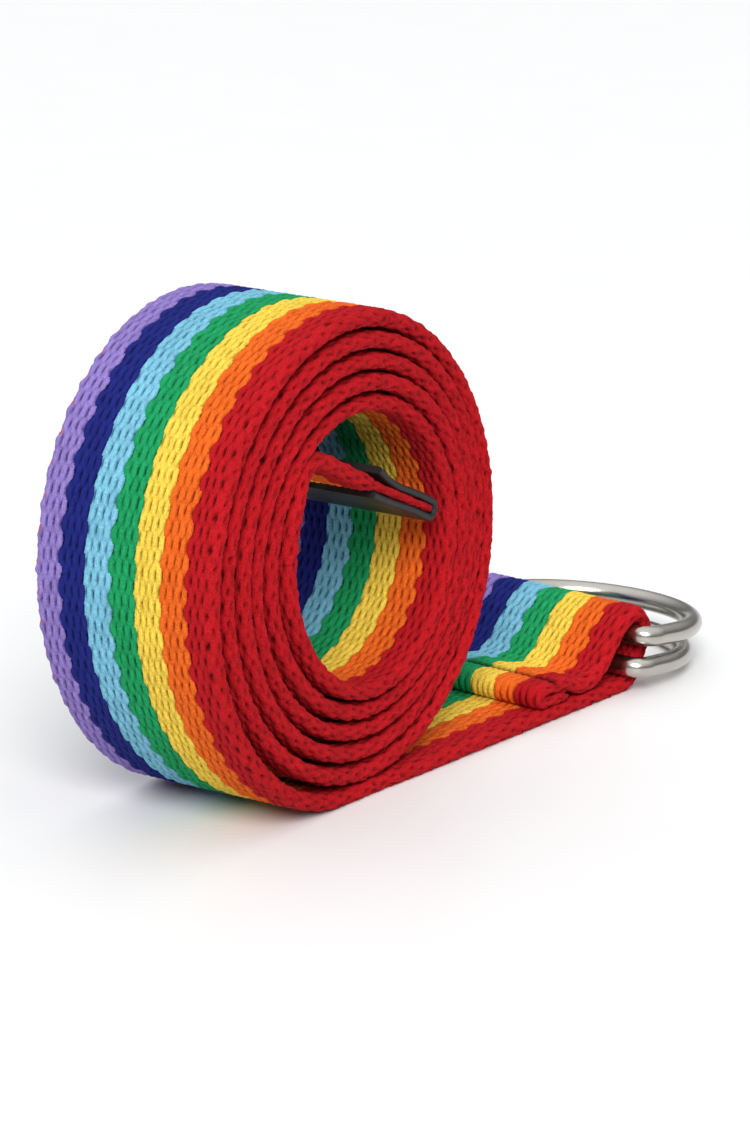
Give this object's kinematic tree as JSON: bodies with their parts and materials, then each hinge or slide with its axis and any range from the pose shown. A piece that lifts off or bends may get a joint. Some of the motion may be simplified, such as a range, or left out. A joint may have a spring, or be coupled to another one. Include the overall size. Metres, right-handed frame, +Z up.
{
  "type": "luggage strap",
  "caption": "Rolled rainbow-striped webbing strap with D-rings sewn in a hemmed loop at one end and a crimped clip on the other; standing on its outer turn.",
  "frame": {"origin": "on the surface the strap stands on, straight below the centre of the roll and midway across the webbing's width", "axes": "+X along the free lead towards the D-rings, +Y across the webbing towards its lilac edge (the red edge is at -Y), +Z up"},
  "size_m": [0.1643, 0.0514, 0.091],
  "materials": {
    "webbing": "coarse woven cotton, matte",
    "ring_metal": "polished nickel plate",
    "clip_metal": "satin black coating",
    "thread": "matte sewing thread"
  },
  "bodies": {
    "roll": {"webbing_roll": "webbing"},
    "lead": {"webbing_lead": "webbing", "seam_stitching": "thread"},
    "tail": {"webbing_tail": "webbing", "end_clip": "clip_metal"},
    "upper_ring": {"upper_d_ring": "ring_metal"},
    "lower_ring": {"lower_d_ring": "ring_metal"}
  },
  "joints": [
    {"name": "lead_lift", "type": "hinge", "parent": "roll", "child": "lead", "pos_m": [0.01992, -0.00174, 0.0015], "axis": [-0.0872, -0.9962, 0], "range_deg": [0, 20]},
    {"name": "tail_flex", "type": "hinge", "parent": "roll", "child": "tail", "pos_m": [-0.0201, 0, 0.05452], "axis": [0, 1, 0], "range_deg": [-3, 10], "stiffness_Nm_per_rad": 1},
    {"name": "upper_ring_swing", "type": "hinge", "parent": "lead", "child": "upper_ring", "pos_m": [0.08717, -0.00763, 0.01095], "axis": [-0.0872, -0.9962, 0], "range_deg": [0, 170]},
    {"name": "lower_ring_swing", "type": "hinge", "parent": "lead", "child": "lower_ring", "pos_m": [0.08418, -0.00737, 0.0053], "axis": [-0.0872, -0.9962, 0], "range_deg": [-110, 0]}
  ]
}
